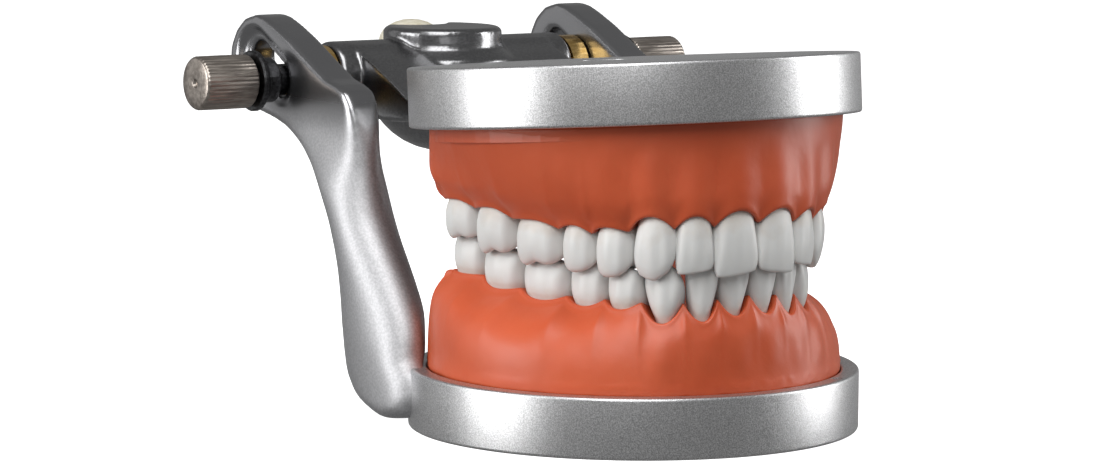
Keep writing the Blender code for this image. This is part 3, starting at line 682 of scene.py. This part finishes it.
def crown(seat):
    """The tooth of a seat: rings from inside the gum to the tip, then over the biting face."""
    lobe_count, lobe_depth, mesial_rise, bite_reach = 2.6, 0.035, 0.05, 0.92
    rings_up, rings_over, crowning = 24, 9, 0.012
    kind = seat.name.split("_", 2)[2]
    profile, biting, power = shape_of(kind, seat.jaw)
    height = seat.tip - seat.margin
    rings, shares = [], []
    mesial = -1 if "left" in seat.name else 1

    def ring(v, wide, facial, lingual, inward=1.0, z_of=None):
        """One ring at share v of the height; with z_of it lies on the biting face."""
        middle, deep = (facial + lingual) / 2, (facial - lingual) / 2
        points = []
        for k in range(AROUND):
            t = 2 * math.pi * k / AROUND
            c, s = math.cos(t), math.sin(t)
            a = math.copysign(abs(c) ** power, c) * wide * inward
            b = math.copysign(abs(s) ** power, s) * deep * inward + middle
            # faint vertical lobes on the facial side, strongest at mid height
            share = math.sin(math.pi * min(max(v, 0), 1)) * max(s, 0)
            lobes = math.cos(a * math.pi * lobe_count) * lobe_depth * share
            skew = mesial_rise * v * a * mesial
            top = biting(a * bite_reach, b)
            if z_of is None:
                z = seat.margin + height * (v if v < 0 else v * (top - skew))
            else:
                z = seat.margin + height * (top - skew) * z_of
            points.append(seat.at(a, b + lobes * inward, z))
        rings.append(points)
        shares.append(v)

    wide, facial, lingual = profile[0][1:]
    ring(-EMBED / abs(height), wide * 0.9, facial * 0.88, lingual * 0.88)
    for i in range(rings_up + 1):
        v = i / rings_up
        ring(v, *sample(profile, min(v, 0.9999)))
    wide, facial, lingual = profile[-1][1:]
    for i in range(1, rings_over):
        t = i / rings_over
        ring(1.0, wide, facial, lingual, 1 - t, 1.0 + crowning * math.sin(math.pi * t / 2))
    obj = loft(f"{seat.name}_crown", rings)
    height_share = obj.data.attributes.new("crown", "FLOAT", "POINT")
    ends = [0.0, 1.0]  # the middle points of the two end fans
    height_share.data.foreach_set("value", [v for v in shares for _ in range(AROUND)] + ends)
    finish_piece(obj, TOOTH, seat.jaw + "_jaw", "tooth", seat.name)


# ---- gums ----------------------------------------------------------------------------------
PER_TOOTH = 20  # columns across one tooth
PAPILLA = {"lower incisor": 3.0, "incisor": 2.2, "lower canine": 3.0, "canine": 2.0,
           "premolar": 1.2, "molar": 0.8}
RIDGE = {"incisor": 0.40, "canine": 0.70, "premolar": 0.40, "molar": 0.25}
RETROMOLAR = 4.6  # how far the ridge runs on behind the last molar


def per_kind(table, seat):
    """A seat's value in a table that names a jaw and kind, or the kind alone."""
    words = (seat.jaw, seat.name.split("_")[-1])
    return table.get(" ".join(words)) or table[words[1]]


class Ridge:
    """The facial line of a row of seats, read by tooth number: tooth i spans i to i + 1."""

    def __init__(self, row):
        self.row = row
        self.up = row[0].up
        faces = [s.centre + s.out * s.half_b for s in row]
        sides = []
        arch_rise = 0.25  # how far the arch stands outside its chords
        for i, (a, b) in enumerate(zip(row, row[1:])):
            share = a.half_a / (a.half_a + b.half_a)
            sides.append(faces[i].lerp(faces[i + 1], share)
                         + (a.out + b.out).normalized() * arch_rise)
        first = faces[0] - row[0].along * row[0].half_a
        last = faces[-1] + row[-1].along * row[-1].half_a
        edges = [first] + sides + [last]
        self.knots = []
        for edge, face in zip(edges, faces):
            self.knots += [edge, face]
        self.knots.append(edges[-1])
        head = (first - faces[0]).normalized()
        tail = (last - faces[-1]).normalized()
        inward, half_way = 0.6, RETROMOLAR * 0.5
        self.knots = ([first + (head * 2 - row[0].out * inward) * half_way,
                       first + head * half_way] + self.knots
                      + [last + tail * half_way,
                         last + (tail * 2 - row[-1].out * inward) * half_way])

    def line(self, u):
        """Point and outward direction at tooth coordinate u, from -1 to 17."""
        k = min(max(u * 2 + 2, 0.0), len(self.knots) - 1.001)
        i = int(k)
        p = [self.knots[min(max(i + j, 0), len(self.knots) - 1)] for j in (-1, 0, 1, 2)]
        t, near = k - i, 0.02
        point = spline(p, t)
        slope = (spline(p, t + near) - spline(p, t - near)).normalized()
        out = Vector((-slope.y, slope.x))
        return point, (out if out.dot(point) > 0 else -out)

    def seat(self, u):
        """The tooth at u, or the row's last one beyond its ends."""
        return self.row[min(max(int(u), 0), len(self.row) - 1)]

    def mixed(self, u, value):
        """A per-tooth value, blended from each tooth's middle to the next."""
        c = min(max(u - 0.5, 0.0), len(self.row) - 1.0)
        i = min(int(c), len(self.row) - 2)
        return blend(value(self.row[i]), value(self.row[i + 1]), smoothstep(0, 1, c - i))

    def crest(self, u):
        """Height of the gum's edge and how far u is from its tooth's middle, 0 to 1."""
        last = len(self.row)
        if u < 0 or u > last:
            seat = self.row[0] if u < 0 else self.row[-1]
            past = -u if u < 0 else u - last
            drop = 4.5 * past ** 2.6 if self.up > 0 else 5.5 * past ** 1.3
            return seat.margin - self.up * drop, 1.0
        seat = self.seat(u)
        q = 2 * (u - int(min(u, last - 0.001))) - 1
        i = self.row.index(seat)
        other = self.row[min(max(i + (1 if q > 0 else -1), 0), last - 1)]
        lift, dip = 0.2, 0.15
        if other is not seat:
            lift = per_kind(PAPILLA, seat) * 0.5 + per_kind(PAPILLA, other) * 0.5
        peak = (seat.margin + other.margin) / 2 + self.up * lift
        return blend(seat.margin - self.up * dip, peak, q ** 2), abs(q)


def gum(jaw, row):
    """The gum of a row: rings across it, up the face, over the edge and down the inner side."""
    ridge = Ridge(row)
    up = ridge.up
    rings = []
    first, last = -1.0, len(row) + 1.0
    count = int((last - first) * PER_TOOTH)
    facial_rows, saddle_rows, inner_rows = 26, 8, 14
    inside = 1.0  # how far the gum goes down inside the cup
    wall_r = CUP_IN - 0.12
    stand_in = 0.5  # how far the facial side stands inside the ridge's full half width
    # how far the edge leans outwards: over a tooth, between two teeth, past the row's end
    lean_middle, lean_side, lean_end = -0.05, -1.15, -0.5
    flash, flash_at, flash_width = 0.16, 1.15, 0.16  # the mould's line just above the lower cup
    inner_slope, inner_hollow = 2.9, 0.35
    for k in range(count + 1):
        u = blend(first, last, k / count)
        point, out = ridge.line(u)
        crest, q = ridge.crest(u)
        past = max(-u, u - len(row), 0.0)
        depth = ridge.mixed(u, lambda s: s.half_b * 2)
        swell = ridge.mixed(u, lambda s: per_kind(RIDGE, s)) if not past else 0.2
        root = swell * (0.5 + 0.5 * math.cos(math.pi * q)) - swell * 0.35
        behind = smoothstep(2.0, 8.0, abs(u - len(row) / 2))
        lean = blend(lean_middle, lean_side, q ** 2.5)
        if past:
            lean = blend(lean_side, lean_end, smoothstep(0, 0.6, past))
        lean -= 0.35 * behind
        fullness = blend(2.0, 5.0, behind) if jaw == "lower" else blend(2.2, 1.0, behind)
        closing = math.sqrt(max(1 - past ** 2, 0.0))
        half = (depth / 2 + 0.9) * (0.35 + 0.65 * closing)
        ring = []

        def put(offset, z, base=0.0, lift=0.0):
            """A point off the facial line, drawn to the cup's wall by the share base."""
            p = point + out * offset
            r = blend(p.length, wall_r + lift, base)
            ring.append((p.x * r / p.length, p.y * r / p.length, z))

        foot = rim_z(jaw == "upper", point.y) - up * inside
        face = half - depth / 2 - stand_in
        for i in range(facial_rows):
            h = i / (facial_rows - 1)
            z = blend(foot, crest - up * 0.75, h)
            above_rim = abs(z - foot) - inside
            line = flash * math.exp(-((above_rim - flash_at) / flash_width) ** 2) * (up > 0)
            lobe = root * smoothstep(0.18, 0.6, h) * (1 - 0.6 * smoothstep(0.8, 1.0, h))
            arch = blend(0.5, 0.3, behind) * math.sin(math.pi * h)
            put(face + arch + lobe + blend(0, lean, smoothstep(0.75, 1, h)), z,
                1 - h ** fullness, line + lobe * 0.6)
        edge = face + lean + root * 0.4
        for back, down in ((0.05, 0.38), (0.22, 0.10), (0.48, 0.0), (0.85, 0.06)):
            put(edge - back, crest - up * down)
        inner = -depth / 2 - half - lean * 0.4
        saddle = 0.33 * (1 - q)
        for i in range(1, saddle_rows):
            t = i / saddle_rows
            put(blend(edge - 1.2, inner + 0.95, t),
                crest - up * (0.1 + saddle + 0.35 * math.sin(math.pi * t)))
        put(inner + 0.55, crest - up * 0.25)
        put(inner + 0.25, crest - up * 0.6)
        floor = base_high.z - 0.4 if jaw == "lower" else rim_z(True, point.y) - 1.8
        for i in range(1, inner_rows + 1):
            t = i / inner_rows
            slope = inner_slope * t * t * closing + inner_hollow * math.sin(math.pi * t)
            put(inner + 0.1 - slope + lean * (0.1 + 0.3 * t), blend(crest - up * 0.6, floor, t))
        rings.append(ring)
    obj = loft(f"{jaw}_gum", rings)
    soften = obj.modifiers.new("Soften", "SMOOTH")
    soften.factor = 0.5
    soften.iterations = 2
    finish_piece(obj, GUM, jaw + "_jaw", "gum", f"{jaw}_gingiva")


# ---- thumb nuts, screws and turned parts ---------------------------------------------------
TURNED_SHARP = 32


def knob(side, label):
    """Thumb nut with fine straight knurling, turned chamfers and a countersunk thread."""
    low, high = box_mm(f"{label}_knob")
    inner, outer = (high.x, low.x) if side < 0 else (low.x, high.x)
    radius = (high.z - low.z) / 2
    teeth, per_tooth = 40, 6
    around = teeth * per_tooth
    bore, dimple = 2.3, 0.8
    stations = [  # share of the length, radius, knurl depth
        (0.000, bore, 0), (0.000, radius - 0.9, 0), (0.018, radius - 0.62, 0),
        (0.050, radius - 0.16, 0.01), (0.065, radius - 0.02, 0.12), (0.50, radius, 0.13),
        (0.945, radius - 0.02, 0.12), (0.960, radius - 0.10, 0.03), (0.985, radius - 0.32, 0),
        (1.000, radius - 0.60, 0), (1.000, dimple * 1.3, 0), (0.994, dimple, 0),
        (0.955, dimple * 0.55, 0)]
    rings = []
    for share, r, cut in stations:
        ring = []
        for k in range(around):
            t = 2 * math.pi * k / around
            wave = 0.5 + 0.5 * math.cos(2 * math.pi * (k % per_tooth) / per_tooth)
            knurled = r - cut * (1 - wave)
            ring.append((blend(inner, outer, share), HINGE_Y + knurled * math.cos(t),
                         HINGE_Z + knurled * math.sin(t)))
        rings.append(ring)
    obj = loft(f"{label}_thumb_nut_piece", rings, TURNED_SHARP)
    finish_piece(obj, NICKEL, f"{label}_thumb_nut", "nickel", f"{label}_knob")


def carried_over():
    """CAD nodes that stay as they are get smooth walls and a material."""
    looks = {"hinge_axle": STEEL, "stop_screw": DOME, "cup_pin": STEEL,
             "lower_jaw_base": BASE, "upper_jaw_base": BASE,
             "lower_jaw_screw": STEEL, "upper_jaw_screw": STEEL}
    for label in SIDES:
        # slide bushes and washers near black: painted shade for the recess round the slot
        looks[f"{label}_slide_bush"] = SHADE_DARK_STEEL
        looks[f"{label}_tube_bush"] = BRASS
        looks[f"{label}_washer"] = SHADE_DARK_STEEL
    for name, look in looks.items():
        mesh = frame["nodes"][name].data
        mesh.materials.clear()
        mesh.materials.append(look)
        mesh.shade_smooth()
        mesh.set_sharp_from_angle(angle=math.radians(TURNED_SHARP))


make_cups()
make_castings()
for jaw_name in JAWS:
    seats = seats_of(jaw_name)
    for one in seats:
        crown(one)
    gum(jaw_name, seats)
for label_, side_ in zip(SIDES, (-1, 1)):
    knob(side_, label_)
carried_over()


# ---- studio --------------------------------------------------------------------------------
def studio():
    """Lights, floor, background and camera."""
    view = math.radians(-35.559)  # the camera stands this far round from the front
    toward = Vector((math.sin(view), -math.cos(view), 0))
    right = Vector((math.cos(view), math.sin(view), 0))

    def softbox(name, azimuth, elevation, distance, size, power, aim=(0, 0.01, 0.03)):
        """An area light, its azimuth in degrees from the camera, positive to the right."""
        light = bpy.data.lights.new(name, "AREA")
        light.shape = "RECTANGLE"
        light.size, light.size_y = size
        light.energy = power
        obj = bpy.data.objects.new(name, light)
        a, e = math.radians(azimuth), math.radians(elevation)
        flat = toward * math.cos(a) + right * math.sin(a)
        obj.location = Vector(aim) + (flat * math.cos(e) + Vector((0, 0, math.sin(e)))) * distance
        obj.rotation_euler = (obj.location - Vector(aim)).to_track_quat("Z", "Y").to_euler()
        bpy.context.scene.collection.objects.link(obj)

    softbox("left_box", -70, 10, 0.75, (0.42, 0.60), 4.2)
    softbox("rear_left_box", -115, 10, 0.8, (0.25, 0.60), 0.2)
    softbox("right_box", 104, 12, 0.75, (0.30, 0.60), 3.4)
    softbox("top_box", -10, 66, 0.85, (0.55, 0.40), 3.2)
    softbox("front_box", -8, 38, 0.9, (0.60, 0.50), 3.5)

    m, shader, add, join = shader_of("studio_floor")
    fine = noise(add, 18, 2.0, 0.5)
    join(ramp(add, fine.outputs["Fac"], (0.90, 0.90, 0.90), (0.93, 0.93, 0.93)), "Base Color")
    shader.inputs["Roughness"].default_value = 0.8
    shader.inputs["Specular IOR Level"].default_value = 0.1
    shader.inputs["Emission Color"].default_value = (1, 1, 1, 1)
    shader.inputs["Emission Strength"].default_value = 0.93
    reach, fall = 6000.0, 0.02
    floor = mesh_object("floor", [(-reach, -reach, -fall), (reach, -reach, -fall),
                                  (reach, reach, -fall), (-reach, reach, -fall)],
                        [(0, 1, 2, 3)])
    floor.data.materials.append(m)
    floor.visible_glossy = False  # the alloy then mirrors a dark room, as in a product tent
    floor.visible_diffuse = False

    world = bpy.data.worlds.new("studio")
    bpy.context.scene.world = world
    world.use_nodes = True
    tree = world.node_tree
    back = tree.nodes["Background"]
    back.inputs["Color"].default_value = (1, 1, 1, 1)
    back.inputs["Strength"].default_value = 0.22
    shown = tree.nodes.new("ShaderNodeBackground")
    shown.inputs["Color"].default_value = (1, 1, 1, 1)
    path = tree.nodes.new("ShaderNodeLightPath")
    mix = tree.nodes.new("ShaderNodeMixShader")
    tree.links.new(path.outputs["Is Camera Ray"], mix.inputs["Fac"])
    tree.links.new(back.outputs[0], mix.inputs[1])
    tree.links.new(shown.outputs[0], mix.inputs[2])
    tree.links.new(mix.outputs[0], tree.nodes["World Output"].inputs["Surface"])

    scene = bpy.context.scene
    scene.view_settings.view_transform = "Standard"
    scene.view_settings.look = "None"

    lens = bpy.data.cameras.new("camera")
    lens.lens, lens.sensor_width = 140.48, 36.0
    lens.clip_start, lens.clip_end = 0.01, 50.0
    camera = bpy.data.objects.new("camera", lens)
    distance, height = 0.72705, 0.11743
    yaw, pitch, roll = (math.radians(d) for d in (-1.022, 6.682, 0.365))
    camera.location = toward * distance + Vector((0, 0, height))
    ahead = (right * math.sin(yaw) - toward * math.cos(yaw)) * math.cos(pitch)
    ahead -= Vector((0, 0, math.sin(pitch)))
    across = right * math.cos(yaw) + toward * math.sin(yaw)
    above = across.cross(ahead)
    across_rolled = across * math.cos(roll) + above * math.sin(roll)
    above_rolled = above * math.cos(roll) - across * math.sin(roll)
    turn = camera.matrix_world.to_3x3()
    for i in range(3):
        turn[i][0], turn[i][1], turn[i][2] = across_rolled[i], above_rolled[i], -ahead[i]
    camera.rotation_euler = turn.to_euler()
    scene.collection.objects.link(camera)
    scene.camera = camera


studio()
